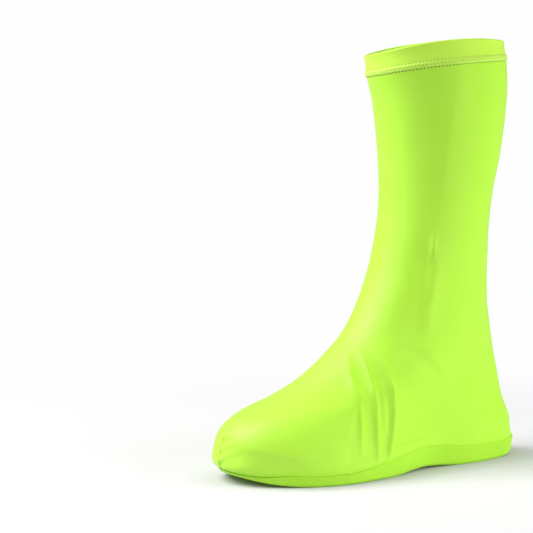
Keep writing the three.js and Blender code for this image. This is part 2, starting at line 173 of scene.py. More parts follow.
plate = bmesh.new()
bmesh.ops.create_circle(plate, segments=plate_columns, radius=1, cap_ends=True)
plate_angle = np.degrees([math.atan2(v.co.x, -v.co.y) for v in plate.verts])
plate_x, plate_y = outline_point(plate_angle, -band_wall_mm - gap_mm)
for vertex, x, y in zip(plate.verts, plate_x, plate_y):
    vertex.co = (x, y, 0)
for y in np.arange(plate_y.min() + plate_strip_mm, plate_y.max() - plate_last_strip_mm,
                   plate_strip_mm):
    everything = plate.verts[:] + plate.edges[:] + plate.faces[:]
    bmesh.ops.bisect_plane(plate, geom=everything, plane_co=(0, y, 0), plane_no=(0, 1, 0))
raised = bmesh.ops.extrude_face_region(plate, geom=plate.faces[:], use_keep_orig=True)
for vertex in [v for v in raised["geom"] if isinstance(v, bmesh.types.BMVert)]:
    vertex.co.z += plate_wall_mm
bmesh.ops.recalc_face_normals(plate, faces=plate.faces[:])
corners = [e for e in plate.edges if e.calc_face_angle(0) > sharp_edge]
bmesh.ops.bevel(plate, geom=corners, offset=plate_edge_mm, offset_type="OFFSET", affect="EDGES",
                segments=2, profile=0.5, material=-1)
for vertex in plate.verts:
    vertex.co.z += float(sole_rise(vertex.co.y))
    vertex.co = (vertex.co + Vector(outline_to_frame_mm)) / 1000

# Moulded elastomer: a soft, dull rubber face with a fine pebbled grain and a faint bloom of dust.
grain_mm = 1.6
dust_mm = 1000 / 60

rubber, tree = new_material("moulded elastomer, pebbled")
where = add_node(tree, "ShaderNodeTexCoord")
grain = add_node(tree, "ShaderNodeTexVoronoi", {"feature": "SMOOTH_F1"}, Vector=where.outputs["Object"],
                 Scale=1000 / grain_mm)
dust = add_node(tree, "ShaderNodeTexNoise", Vector=where.outputs["Object"], Scale=1000 / dust_mm, Detail=4.0)
tint = add_node(tree, "ShaderNodeMix", {"data_type": "RGBA"}, n0=dust.outputs["Fac"],
                n6=linear_colour(plate_dark), n7=linear_colour(plate_light))
dents = add_node(tree, "ShaderNodeBump", Height=grain.outputs["Distance"], Strength=0.35, Distance=0.0004)
shader = add_node(tree, "ShaderNodeBsdfPrincipled", Base_Color=tint.outputs[2], Roughness=0.62,
                  IOR=1.5, Normal=dents.outputs["Normal"])
add_node(tree, "ShaderNodeOutputMaterial", Surface=shader.outputs["BSDF"])

sole_plate = new_piece("sole_plate_moulded", plate, rubber, smooth=False)
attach(sole_plate, "root")
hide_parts("outsole")


# The sole band: a soft elastomer strip bonded round the foot of the cover, low at the toe and tall
# at the waist and heel. Its lower edge is rounded under the foot and its upper edge is rolled out
# into a narrow lip.
band_toe_mm = 2.4
band_ball_mm = 9
band_waist_mm = 18
band_heel_mm = 15.5
band_edge_round_mm = 3
band_flare_mm = 1.8
band_wave_mm = 0.16
band_face_mm = -0.4  # the outer face begins here, from the outline
band_columns = 560
band_dark = "abe932"
band_light = "b4ef3a"
weld_mm = 0.01
# Where the band's height changes and where its foot spreads, as shares of the length from the toe.
toe_to_ball = (0.02, 0.16)
ball_to_waist = (0.27, 0.56)
waist_to_heel = (0.66, 0.85)
flare_begins = (0.03, 0.12)
flare_ends = (0.3, 0.5)

# Section of the band. out is mm from the outline, edge and foot are shares of the rounded lower
# edge, inwards and up, and share is a share of the wall's height above it.
band_profile = [
    # out, edge, foot, share
    (0.2, -0.95, 0.0, 0),
    (0.2, -0.6, 0.08, 0),
    (0.2, -0.3, 0.3, 0),
    (0.2, -0.09, 0.62, 0),
    (0.3, 0, 1, 0),
    (0.45, 0, 1, 0.14),
    (0.7, 0, 1, 0.3),
    (0.95, 0, 1, 0.46),
    (1.25, 0, 1, 0.6),
    (1.6, 0, 1, 0.71),
    (1.8, 0, 1, 0.79),
    (1.75, 0, 1, 0.86),
    (1.5, 0, 1, 0.925),
    (1.2, 0, 1, 0.97),
    (0.95, 0, 1, 0.995),
    (0.85, 0, 1, 0.95),
    (0.35, 0, 1, 0.8),
    (-0.55, 0, 1, 0.5),
    (-1.35, 0, 1, 0.25),
    (-1.8, 0, 0.9, 0),
    (-1.8, 0, 0.45, 0),
    (-1.8, 0, 0.1, 0),
]


def band_height(y):
    along = y / cover_length_mm + 0.5
    return (
        band_toe_mm
        + (band_ball_mm - band_toe_mm) * smooth_step(*toe_to_ball, along)
        + (band_waist_mm - band_ball_mm) * smooth_step(*ball_to_waist, along)
        + (band_heel_mm - band_waist_mm) * smooth_step(*waist_to_heel, along)
    )


def band_flare(y):
    """How far the foot of the band spreads, beside the toe and the ball."""
    along = y / cover_length_mm + 0.5
    return band_flare_mm * smooth_step(*flare_begins, along) * (1 - smooth_step(*flare_ends, along))


def ripple(angle, seed, waves, count=6):
    """Slow waves round the cover, from -1 to 1, that a hand-bonded strip shows."""
    random = np.random.default_rng(seed)
    total = np.zeros(np.shape(angle))
    for turn in random.integers(waves[0], waves[1], count):
        total += np.sin(np.radians(angle * turn) + random.uniform(0, 2 * math.pi))
    return total / count


def shaped_grid(columns, rows, place, close_rows=False, from_top=False):
    """A grid whose columns run round the cover, moved to place(column share, row share) in mm.

    Its UV map, named cloth, holds mm round the cover and mm up it, from its first row or its top."""
    grid = bmesh.new()
    cloth_map = grid.loops.layers.uv.new("cloth")
    bmesh.ops.create_grid(grid, x_segments=columns, y_segments=rows, size=0.5)
    flat = np.array([v.co[:2] for v in grid.verts]) + 0.5
    column = np.rint(flat[:, 0] * columns).astype(int)
    row = np.rint(flat[:, 1] * rows).astype(int)
    points = place(np.arange(columns + 1) / columns, np.arange(rows + 1) / rows)
    run = np.linalg.norm(np.diff(points, axis=1), axis=2).cumsum(axis=1)
    climb = np.linalg.norm(np.diff(points, axis=0), axis=2).cumsum(axis=0)
    run = np.pad(run, ((0, 0), (1, 0)))
    climb = np.pad(climb, ((1, 0), (0, 0)))
    if from_top:
        climb = climb - climb[-1]
    flat_mm = np.stack([run[row, column], climb[row, column]], axis=-1).tolist()
    for face in grid.faces:
        for loop in face.loops:
            loop[cloth_map].uv = flat_mm[loop.vert.index]
    for vertex, point in zip(grid.verts, points[row, column]):
        vertex.co = (point + outline_to_frame_mm) / 1000
    seam = [v for v, c in zip(grid.verts, column) if c in (0, columns)]
    if close_rows:
        seam = [v for v, c, r in zip(grid.verts, column, row) if c in (0, columns) or r in (0, rows)]
    bmesh.ops.remove_doubles(grid, verts=seam, dist=weld_mm / 1000)
    return grid


def band_points(columns, rows):
    angle = columns * 360
    table = np.array(band_profile)
    middle_y = outline_point(angle, 0)[1]
    height = band_height(middle_y)
    edge = np.minimum(band_edge_round_mm, height / 4)
    place = rows * len(table)
    index = np.floor(place).astype(int)
    near = [table[(index + step) % len(table)] for step in (-1, 0, 1, 2)]
    section = catmull_rom(*near, (place - index)[:, None])
    out, inwards, foot, share = (section[:, [k]] for k in range(4))
    wave = band_wave_mm * ripple(angle, seed=3, waves=(5, 30)) * np.clip(share, 0, 1)
    spread = band_flare(middle_y) * np.clip(1 - share, 0, 1) * np.clip((out + band_wall_mm) / 2, 0, 1)
    distance = np.maximum(out + inwards * edge + spread + wave * (out > band_face_mm), -band_wall_mm)
    bx, by = outline_point(np.broadcast_to(angle, distance.shape), distance)
    z = sole_rise(middle_y) + foot * edge + share * (height - edge)
    return np.stack([bx, by, z], axis=-1)


# Elastomer strip: smooth satin face with a faint mottle and a very fine skin.
mottle_mm = 1000 / 45
skin_mm = 1000 / 900

satin_rubber, tree = new_material("elastomer strip, satin")
where = add_node(tree, "ShaderNodeTexCoord")
mottle = add_node(tree, "ShaderNodeTexNoise", Vector=where.outputs["Object"], Scale=1000 / mottle_mm,
                  Detail=5.0)
tint = add_node(tree, "ShaderNodeMix", {"data_type": "RGBA"}, n0=mottle.outputs["Fac"],
                n6=linear_colour(band_dark), n7=linear_colour(band_light))
skin = add_node(tree, "ShaderNodeTexNoise", Vector=where.outputs["Object"], Scale=1000 / skin_mm, Detail=2.0)
dents = add_node(tree, "ShaderNodeBump", Height=skin.outputs["Fac"], Strength=0.12, Distance=0.0003)
shader = add_node(tree, "ShaderNodeBsdfPrincipled", Base_Color=tint.outputs[2], Roughness=0.55,
                  IOR=1.45, Normal=dents.outputs["Normal"])
add_node(tree, "ShaderNodeOutputMaterial", Surface=shader.outputs["BSDF"])

band = shaped_grid(band_columns, 2 * len(band_profile), band_points, close_rows=True)
bmesh.ops.recalc_face_normals(band, faces=band.faces[:])
sole_band = new_piece("sole_band_strip", band, satin_rubber)
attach(sole_band, "root")
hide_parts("sole_band")


# The upper: one layer of stretch knit, polyester or nylon with elastane, pulled to shape from the
# sole to the hem. It is smooth and taut on the leg and the toe, gathered over the waist of the
# foot, and pinched at the ankle where the empty leg sinks in.
leg_depth_mm = 130
leg_width_mm = 104
hem_front_mm = 15.6
hem_back_mm = 13
cloth_wall_mm = 1.4
leg_axis = 0.726
leg_round = 2.1

# The cloth just above the band swells out past it at the toe and the sides.
wall_rise_mm = 6
toe_bulge_mm = 8
side_bulge_mm = 1.4
heel_tuck_mm = 0.6
feather_outwards_mm = 0.9
feather_share = 0.99
# How narrowly the swell stays at the tip of the toe and the tuck at the heel.
toe_focus = 6
heel_focus = 2

# Cross sections of the foot, low to high. front and back are shares of the length from the toe,
# front up and back up of the height, width of the sole's width, and half of it lies to each side.
# widest is where along the section that is, and round how full its ends are, from 2, an ellipse.
# sole is how much of the sole's outline the section keeps, and turn bends its columns, in degrees.
foot_sections = [
    # front, front up, back, back up, width, widest, front round, back round, sole, turn
    (0.005, 0.073, 0.984, 0.098, 0.5, 0.3, 2.3, 2.5, 0.9, 0),
    (0.02, 0.111, 0.958, 0.15, 0.472, 0.32, 2.2, 2.4, 0.75, 0),
    (0.066, 0.144, 0.942, 0.212, 0.435, 0.36, 2.1, 2.3, 0.5, 0),
    (0.163, 0.175, 0.927, 0.268, 0.398, 0.45, 2, 2.2, 0.2, 8),
    (0.255, 0.211, 0.915, 0.324, 0.38, 0.52, 2, 2.1, 0, 23),
    (0.347, 0.262, 0.902, 0.38, 0.37, 0.54, 2, 2.1, 0, 33),
    (0.432, 0.325, 0.896, 0.439, 0.37, 0.53, 2.1, 2.1, 0, 44),
]
# Cross sections of the leg. front and back are shares of its depth from its axis, width of its
# width. The hem's seam and its top edge follow.
leg_sections = [
    # front, front up, back, back up, width, turn
    (-0.527, 0.411, 0.381, 0.5, 0.394, 30),
    (-0.435, 0.506, 0.381, 0.573, 0.404, 14),
    (-0.381, 0.612, 0.404, 0.654, 0.423, 4),
    (-0.381, 0.726, 0.458, 0.751, 0.46, 0),
    (-0.42, 0.85, 0.496, 0.88, 0.495, 0),
]
seam_section = (-0.472, 0.97, 0.483, 1, 0.505, 0)
rim_section = (-0.493, 0.97, 0.469, 1, 0.5, 0)

# How the hem's two edges leave the plane of their fronts and backs, as shares of the hem's height:
# up at both sides, up on the outer side and down on the inner, and up at the front of the outer side.
seam_rise = (0.07, 0.19, 0.19)
rim_rise = (0.28, 0.19, 0.26)


def along_to_y(along):
    return (along - 0.5) * cover_length_mm


def section_ring(angle, front, front_up, back, back_up, half_width, widest, front_round, back_round,
                 sole, turn, rise=(0, 0, 0)):
    """Ring of one cross section, at angles from the front round the outer side."""
    side = np.sin(np.radians(angle))
    turned = np.radians(angle - turn * side * np.abs(side))
    cosine, sine = np.cos(turned), np.sin(turned)
    power = 2 / np.where(cosine >= 0, front_round, back_round)
    reach = np.abs(cosine) ** power
    along = np.where(cosine >= 0, widest * (1 - reach), widest + (1 - widest) * reach)
    x = np.sign(sine) * half_width * np.abs(sine) ** power
    if sole > 0:
        low = min(row[1] for row in sole_outline)
        high = max(row[1] for row in sole_outline)
        outline_x, outline_y = outline_point(angle, 0)
        share = (outline_y / cover_length_mm + 0.5 - low) / (high - low)
        along = along + (share - along) * sole
        x = x + (outline_x * half_width / (sole_width_mm / 2) - x) * sole
    y = front + (back - front) * along
    z = front_up + (back_up - front_up) * along
    z += rise[0] * sine**2 + rise[1] * sine + rise[2] * sine * cosine
    return np.stack([x, y, z], axis=-1)


def foot_ring(angle, front, front_up, back, back_up, width, widest, front_round, back_round, sole, turn):
    return section_ring(
        angle, along_to_y(front), front_up * cover_height_mm, along_to_y(back), back_up * cover_height_mm,
        width * sole_width_mm, widest, front_round, back_round, sole, turn)


def leg_ring(angle, front, front_up, back, back_up, width, turn, rise=(0, 0, 0), lowered=0):
    """Lowered by 1, a section lies under the top edge by the height of the hem."""
    axis = along_to_y(leg_axis)
    return section_ring(
        angle, axis + front * leg_depth_mm, front_up * cover_height_mm - lowered * hem_front_mm,
        axis + back * leg_depth_mm, back_up * cover_height_mm - lowered * hem_back_mm,
        width * leg_width_mm, 0.5, leg_round, leg_round, 0, turn, np.array(rise) * hem_front_mm)


def ring_table(angle):
    """Every ring of the smooth cover at these angles, low to high."""
    tuck_x, tuck_y = outline_point(angle, -band_wall_mm - gap_mm)
    foot_y = outline_point(angle, 0)[1]
    under = np.stack([tuck_x, tuck_y, sole_rise(foot_y) + plate_wall_mm + gap_mm], axis=-1)
    feather_x, feather_y = outline_point(angle, feather_outwards_mm)
    feather_z = sole_rise(foot_y) + band_height(foot_y) * feather_share
    feather = np.stack([feather_x, feather_y, feather_z], axis=-1)
    at_toe = np.maximum(np.cos(np.radians(angle)), 0) ** toe_focus
    at_heel = np.maximum(-np.cos(np.radians(angle)), 0) ** heel_focus
    out = side_bulge_mm + (toe_bulge_mm - side_bulge_mm) * at_toe - (heel_tuck_mm + side_bulge_mm) * at_heel
    wall_x, wall_y = outline_point(angle, out)
    wall = np.stack([wall_x, wall_y, sole_rise(foot_y) + band_height(foot_y) + wall_rise_mm], axis=-1)
    return np.stack([
        under, feather, wall,
        *[foot_ring(angle, *row) for row in foot_sections],
        *[leg_ring(angle, *row) for row in leg_sections],
        leg_ring(angle, *seam_section, seam_rise, 1),
        leg_ring(angle, *rim_section, rim_rise),
    ])


feather_level = 1  # the ring at the band's upper edge
seam_level = 3 + len(foot_sections) + len(leg_sections)
rim_level = seam_level + 1
# Short ways up and round the cover, over which its slope is measured.
level_step = 0.02
angle_step = 0.5


def smooth_points(level, angle):
    """Points of the smooth cover. level is rows by columns, angle is one for each column."""
    table = ring_table(angle)
    index = np.clip(np.floor(level).astype(int), 0, rim_level - 1)
    column = np.arange(len(angle))
    u = (level - index)[..., None]
    here, after = table[index, column], table[index + 1, column]
    before = np.where((index > feather_level)[..., None], table[index - 1, column], 2 * here - after)
    beyond = np.where((index + 2 <= rim_level)[..., None],
                      table[np.minimum(index + 2, rim_level), column], 2 * after - here)
    curved = catmull_rom(before, here, after, beyond, u)
    return np.where((index < feather_level)[..., None], here + (after - here) * u, curved)


def outward_normals(level, angle):
    low = np.where(level < feather_level, level, np.maximum(level - level_step, feather_level))
    up = smooth_points(np.minimum(level + level_step, rim_level), angle) - smooth_points(low, angle)
    around = smooth_points(level, angle + angle_step) - smooth_points(level, angle - angle_step)
    normal = np.cross(around, up)
    return normal / np.linalg.norm(normal, axis=-1, keepdims=True)


# Folds as seen square to each side: both ends as shares of the length from the toe and of the
# height, how far it arches towards the heel as a share of its own length, how far it spreads
# towards the toe and towards the heel and its height, as shares of the widest and the deepest, and
# how round its top is, from 1, a crease, to 2, a soft roll. A valley's height is below 0.
fold_width_mm = 8
fold_depth_mm = 3
outer_folds = [
    # along, up, to along, to up, bow, toe side, heel side, deep, round
    (0.678, 0.97, 0.639, 0.5, 0, 2, 1.4, 0.55, 1.3),  # pressed crease down the leg
    (0.642, 0.53, 0.595, 0.3, 0, 1.4, 0.9, 0.9, 1.2),  # its end, over the ankle
    (0.631, 0.56, 0.626, 0.49, 0, 0.35, 0.25, 1, 1.3),  # pinch
    (0.625, 0.56, 0.56, 0.27, 0, 1.5, 0.6, -0.75, 1.5),  # ankle valley
    (0.54, 0.312, 0.7, 0.2, 0.04, 0.5, 0.8, 0.8, 1.6),  # tension from the instep to the heel
    (0.51, 0.275, 0.63, 0.2, 0.04, 0.5, 0.5, 0.3, 2),
    (0.447, 0.3, 0.425, 0.025, 0.1, 1, 1.6, 0.7, 1.2),  # gathers of the waist, back to front
    (0.447, 0.29, 0.425, 0.03, 0.1, 0.25, 0.35, 1.15, 1.2),
    (0.436, 0.22, 0.43, 0.1, 0.03, 0.2, 0.2, 0.5, 1.3),
    (0.415, 0.3, 0.397, 0.025, 0, 0.7, 0.6, 0.5, 1.2),
    (0.415, 0.29, 0.397, 0.03, 0, 0.24, 0.24, 1, 1.2),
    (0.367, 0.25, 0.341, 0.06, 0, 0.3, 0.3, 1, 1.2),
    (0.396, 0.3, 0.302, 0.1, 0, 1, 0.35, 0.65, 1.25),
    (0.015, 0.094, 0.3, 0.058, -0.03, 0.5, 3, 1.1, 1.2),  # edge of the foot over the toe
    (0.7, 0.105, 0.706, 0.06, 0, 0.16, 0.16, -0.12, 2),  # fine wrinkles over the band near the heel
    (0.73, 0.1, 0.736, 0.055, 0, 0.16, 0.16, -0.12, 2),
    (0.764, 0.1, 0.768, 0.055, 0, 0.16, 0.16, -0.1, 2),
]
# The same columns for the inner side.
inner_folds = [
    (0.56, 0.48, 0.63, 0.462, 0, 0.5, 0.5, -0.47, 1.6),
    (0.585, 0.48, 0.67, 0.25, 0, 1, 1, 0.73, 1.6),
    (0.54, 0.42, 0.61, 0.22, 0, 0.88, 0.7, -0.6, 1.6),
    (0.64, 0.22, 0.8, 0.05, 0, 0.88, 0.88, 0.6, 1.8),
    (0.5, 0.26, 0.475, 0.05, 0.06, 0.4, 0.7, 0.62, 1.4),
    (0.46, 0.24, 0.445, 0.05, 0.05, 0.8, 0.5, -0.65, 1.4),
    (0.42, 0.23, 0.41, 0.07, 0.04, 0.45, 0.6, 0.45, 1.4),
]
fold_ends = 0.6  # below 1, a fold keeps its height for most of its length
fold_top = 0.08  # keeps the top of a crease from ending in a point


def fold_height(points, folds):
    total = np.zeros(points.shape[:-1])
    for along, up, to_along, to_up, bow, toe_side, heel_side, deep, roundness in folds:
        start_y, start_z = along_to_y(along), up * cover_height_mm
        run_y, run_z = along_to_y(to_along) - start_y, to_up * cover_height_mm - start_z
        run = math.hypot(run_y, run_z)
        y, z = points[..., 1] - start_y, points[..., 2] - start_z
        share = np.clip((y * run_y + z * run_z) / run**2, 0, 1)
        aside = (y * run_z - z * run_y) / run + bow * run * 4 * share * (1 - share)
        away = np.hypot(aside / np.where(aside > 0, toe_side, heel_side) / fold_width_mm, fold_top)
        total += deep * fold_depth_mm * np.sin(math.pi * share) ** fold_ends * np.exp(-away**roundness)
    return total


# Small gathers at the tip of the toe, where the closing seam draws the cloth in. Each starts at the
# seam and fades towards its other end. Ends and sizes are mm in the sole outline's frame, and a
# groove's height is below 0.
toe_gathers = [
    # x, y, z, to x, to y, to z, wide, high
    (-3, -133, 48.5, -20, -121, 53, 1.5, -1.4),
    (-1.4, -130.6, 49.2, -18.4, -118.6, 53.6, 2, 1.3),
    (-7, -136.6, 45, -23, -136, 39.5, 1.2, 0.9),
    (-6, -138.6, 42.5, -20, -138.6, 37.5, 1.2, -0.9),
    (-4, -141.6, 39, 12, -137, 43, 2.4, 0.9),
    (-3, -142.4, 34, 12, -138, 38, 1.8, -0.7),
    (-4, -144.6, 28, 12, -139.5, 36, 1.8, 0.9),
    (-4, -146.4, 20, 16, -139.5, 32, 2, 1),
    (-3, -146, 16.5, 20, -138, 27, 2, -0.9),
    (0, -144.5, 12.5, 28, -134, 17.5, 3.4, 1.3),
]
gather_fade = 0.7


def gather_height(points):
    total = np.zeros(points.shape[:-1])
    for *place, wide, high in toe_gathers:
        start, end = np.array(place[:3]), np.array(place[3:])
        share = np.clip((points - start) @ (end - start) / ((end - start) @ (end - start)), 0, 1)
        away = np.linalg.norm(points - start - share[..., None] * (end - start), axis=-1) / wide
        total += high * (1 - share) ** gather_fade * np.exp(-away**2)
    return total


# Folds die away where the cloth turns to the front or the back, by how far sideways it faces, and
# towards the band, within this part of the first section above it.
facing_faint = 0.05
facing_full = 0.5
first_section_part = 0.8


def cloth_points(level, angle, inwards):
    points = smooth_points(level, angle)
    normals = outward_normals(level, angle)
    outer = fold_height(points, outer_folds)
    inner = fold_height(points, inner_folds)
    height = np.where(normals[..., 0] > 0, outer, inner)
    height = height * smooth_step(facing_faint, facing_full, np.abs(normals[..., 0]))
    above_band = smooth_step(feather_level, feather_level + first_section_part, level)
    height = (height + gather_height(points)) * above_band
    return points + normals * (height - inwards)[..., None]


def seam_offset_level(angle, up_mm):
    """Level a few mm above or below the hem's seam."""
    seam = np.full((1, len(angle)), float(seam_level))
    above, below = (smooth_points(seam + step, angle) for step in (level_step / 2, -level_step / 2))
    climb = np.linalg.norm(above - below, axis=-1)
    return seam + level_step * up_mm / climb


upper_columns = 300
upper_rows = 160

# Columns lie closer together over the fine gathers of the toe and of the waist's outer side.
column_spread = [
    # share of the columns, degrees round the cover
    (0, 0),
    (0.1, 25),
    (0.18, 50),
    (0.46, 100),
    (0.95, 345),
    (1, 360),
]


def upper_points(columns, rows):
    angle = np.interp(columns, *zip(*column_spread))
    top = seam_offset_level(angle, -gap_mm / 2)
    return cloth_points(rows[:, None] * top, angle, 0)


# Stretch knit: a satin filament jersey, whose sheen lifts its edges. Its wales run up the leg,
# drawn a little coarser than real ones so that they show at all. Beside the hem's seam a row of
# needle holes is punched through it, drawn about 1.5 mm long for the same reason, and darkened
# with painted shade.
wale_mm = 1.1
yarn_fleck_mm = 5 / 3
cloud_mm = 1000 / 22
stitch_pitch_mm = 3.1
hole_row_mm = 2.6
hole_half_length_mm = 0.8
hole_half_height_mm = 0.6
# Painted shade inside the needle holes.
hole_shade_colour = "3f7a0a"
leg_light = "bdf742"
leg_dark = "b4f238"


def knit_material(name, light, dark, hole_row, hole_depth):
    knit, tree = new_material(name)
    flat = add_node(tree, "ShaderNodeUVMap", {"uv_map": "cloth"}).outputs["UV"]
    where = add_node(tree, "ShaderNodeTexCoord").outputs["Object"]
    wales = add_node(tree, "ShaderNodeTexWave", {"bands_direction": "X"}, Vector=flat,
                     Scale=math.pi / 10 / wale_mm, Distortion=0.6, Detail=1.0)
    drawn = add_node(tree, "ShaderNodeVectorMath", {"operation": "MULTIPLY"}, n0=flat, n1=(1.0, 0.3, 1.0))
    yarn = add_node(tree, "ShaderNodeTexNoise", Vector=drawn.outputs["Vector"], Scale=1 / yarn_fleck_mm,
                    Detail=4.0, Roughness=0.7)
    cloud = add_node(tree, "ShaderNodeTexNoise", Vector=where, Scale=1000 / cloud_mm, Detail=3.0)
    tint = add_node(tree, "ShaderNodeMix", {"data_type": "RGBA"}, n0=cloud.outputs["Fac"],
                    n6=linear_colour(dark), n7=linear_colour(light))
    place = add_node(tree, "ShaderNodeSeparateXYZ", Vector=flat)
    step = add_node(tree, "ShaderNodeMath", {"operation": "PINGPONG"}, n0=place.outputs["X"],
                    n1=stitch_pitch_mm / 2)
    along = add_node(tree, "ShaderNodeMath", {"operation": "DIVIDE"}, n0=step.outputs[0],
                     n1=hole_half_length_mm)
    across = add_node(tree, "ShaderNodeMath", {"operation": "SUBTRACT"}, n0=place.outputs["Y"], n1=hole_row)
    across = add_node(tree, "ShaderNodeMath", {"operation": "DIVIDE"}, n0=across.outputs[0],
                      n1=hole_half_height_mm)
    spot = add_node(tree, "ShaderNodeCombineXYZ", X=along.outputs[0], Y=across.outputs[0])
    reach = add_node(tree, "ShaderNodeVectorMath", {"operation": "LENGTH"}, n0=spot.outputs[0])
    hole = add_node(tree, "ShaderNodeMapRange", {"interpolation_type": "SMOOTHSTEP"},
                    Value=reach.outputs["Value"], From_Min=0.5, From_Max=1.4, To_Min=hole_depth, To_Max=0.0)
    # Painted shade: the needle holes are mixed towards the dark hole colour.
    shade = add_node(tree, "ShaderNodeMix", {"data_type": "RGBA"}, n0=hole.outputs[0],
                     n6=tint.outputs[2], n7=linear_colour(hole_shade_colour))
    fibre = add_node(tree, "ShaderNodeMath", {"operation": "MULTIPLY_ADD"}, n0=wales.outputs["Fac"],
                     n1=0.25, n2=yarn.outputs["Fac"])
    relief = add_node(tree, "ShaderNodeMath", {"operation": "SUBTRACT"}, n0=fibre.outputs[0],
                      n1=hole.outputs[0])
    bump = add_node(tree, "ShaderNodeBump", Height=relief.outputs[0], Strength=0.5, Distance=0.0003)
    shader = add_node(tree, "ShaderNodeBsdfPrincipled", Base_Color=shade.outputs[2], Roughness=0.55,
                      IOR=1.5, Specular_IOR_Level=0.55, Sheen_Weight=0.15, Sheen_Roughness=0.35,
                      Normal=bump.outputs["Normal"])
    add_node(tree, "ShaderNodeOutputMaterial", Surface=shader.outputs["BSDF"])
    return knit


stretch_knit = knit_material("stretch knit, satin", leg_light, leg_dark, -hole_row_mm, hole_depth=0.9)
outer = shaped_grid(upper_columns, upper_rows, upper_points, from_top=True)
upper_knit = new_piece("upper_knit", outer, stretch_knit)
wall = upper_knit.modifiers.new("one layer of knit", "SOLIDIFY")
wall.thickness = cloth_wall_mm / 1000
wall.offset = -1
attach(upper_knit, "root")
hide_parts("upper")


# The closing seam: the knit of both sides is joined down the tip of the toe by a narrow flat seam.
# It is made of the same knit, stands a little proud of it, and runs from just above the band.
toe_seam_width_mm = 3.4
toe_seam_proud_mm = 0.55
toe_seam_under = -0.3  # its underside, as a share of how proud it stands
toe_seam_columns = 24
toe_seam_rows = 90
toe_seam_start = 0.7  # sections above the band's edge
toe_seam_run = 2.8  # sections that it crosses


def toe_seam_points(columns, rows):
    level = feather_level + toe_seam_start + rows[:, None] * toe_seam_run
    around = smooth_points(level, np.array([-0.5, 0.5]))
    per_degree = np.linalg.norm(around[:, 1] - around[:, 0], axis=-1)
    turn = columns * 2 * math.pi
    section = np.stack([np.sin(turn), np.maximum(np.cos(turn), toe_seam_under)])
    angle = section[0] * toe_seam_width_mm / 2 / per_degree[:, None]
    proud = section[1] * toe_seam_proud_mm + 0 * level
    # The grid's points are laid side by side in one row, because each has its own angle.
    points = cloth_points((level + 0 * angle).reshape(1, -1), angle.ravel(), -proud.reshape(1, -1))
    return points.reshape(len(rows), len(columns), 3)


toe_strip = shaped_grid(toe_seam_columns, toe_seam_rows, toe_seam_points)
ends = [e for e in toe_strip.edges if e.is_boundary]
bmesh.ops.holes_fill(toe_strip, edges=ends, sides=0)
bmesh.ops.recalc_face_normals(toe_strip, faces=toe_strip.faces[:])
toe_seam = new_piece("toe_seam_strip", toe_strip, stretch_knit)
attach(toe_seam, "root")
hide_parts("toe_seam")


# The hem: the top of the knit turned in once, so two layers, with a soft rounded top edge and a
# slight hollow between that edge and the seam that holds it down.
hem_wall_mm = 2.4
hem_hollow_mm = 0.6
hem_columns = 300
hem_rows = 60
# Painted light: the hem's knit is coloured paler than the leg's same knit, as light on the rim.
hem_light_painted_paler = "cdfb50"
hem_dark_painted_paler = "c5f846"
hem_outside_share = 0.42  # of the rows, for the outside and again for the inside; the rest is the edge
hem_height_mm = (hem_front_mm + hem_back_mm) / 2


def hem_points(columns, rows):
    """Up the outside, over the edge and down the inside, with the lower end closed."""
    angle = columns * 360
    low = seam_offset_level(angle, gap_mm / 2)
    crown = hem_wall_mm / 2 / hem_height_mm
    points = np.zeros((len(rows), len(columns), 3))
    for k, row in enumerate(rows[:-1]):
        if row < hem_outside_share:
            share, inwards = row / hem_outside_share * (1 - crown), 0
        elif row < 1 - hem_outside_share:
            turn = (row - hem_outside_share) / (1 - 2 * hem_outside_share) * math.pi
            share = 1 - crown + crown * math.sin(turn)
            inwards = hem_wall_mm / 2 * (1 - math.cos(turn))
        else:
            share, inwards = (1 - row) / hem_outside_share * (1 - crown), hem_wall_mm
        hollow = hem_hollow_mm * math.sin(math.pi * min(share, 1))
        level = low + (rim_level - low) * share
        points[k] = cloth_points(level, angle, inwards + hollow)
    points[-1] = points[0]
    return points


# The hem's knit carries painted light: it is paler than the leg's.
hem_knit = knit_material("stretch knit, two layers, painted paler", hem_light_painted_paler, hem_dark_painted_paler, hole_row_mm, hole_depth=0.35)
hem_cloth = shaped_grid(hem_columns, hem_rows, hem_points, close_rows=True)
bmesh.ops.recalc_face_normals(hem_cloth, faces=hem_cloth.faces[:])
hem = new_piece("hem_turned", hem_cloth, hem_knit)
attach(hem, "root")
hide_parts("hem_band")


# The coverstitch seam: a raised ridge where the hem is held down. Needle threads run along both of
# its edges, and a looper thread crosses it from one to the other in a fine zigzag.
seam_height_mm = 4.2
seam_proud_mm = 0.8
seam_columns = 880
seam_rows = 24
thread_mm = 0.6
thread_dark = "d2fb62"
thread_light = "e6ff90"
thread_twist_mm = 1000 / 1500
# Where the threads lie, as shares of the ridge's height either way from its middle.
needle_line = 0.47
looper_line = 0.4
# A needle thread dips into the cloth between its stitches.
needle_rise_mm = 0.55
needle_sink_mm = 0.25
steps_per_stitch = 8
looper_height = 0.8  # as a share of how proud the ridge is
ridge_fullness = 0.7  # below 1, the ridge is flatter on top than a half round


def seam_surface(angle, up_mm, proud_mm):
    """Points beside the seam, up_mm from its middle and proud_mm out from the cloth."""
    return cloth_points(seam_offset_level(angle, up_mm), angle, -np.asarray(proud_mm))[0]


def seam_points(columns, rows):
    turn = rows * 2 * math.pi
    up = -np.cos(turn) * seam_height_mm / 2
    out = np.maximum(np.sin(turn), 0) ** ridge_fullness * seam_proud_mm
    return np.array([seam_surface(columns * 360, u, o) for u, o in zip(up, out)])


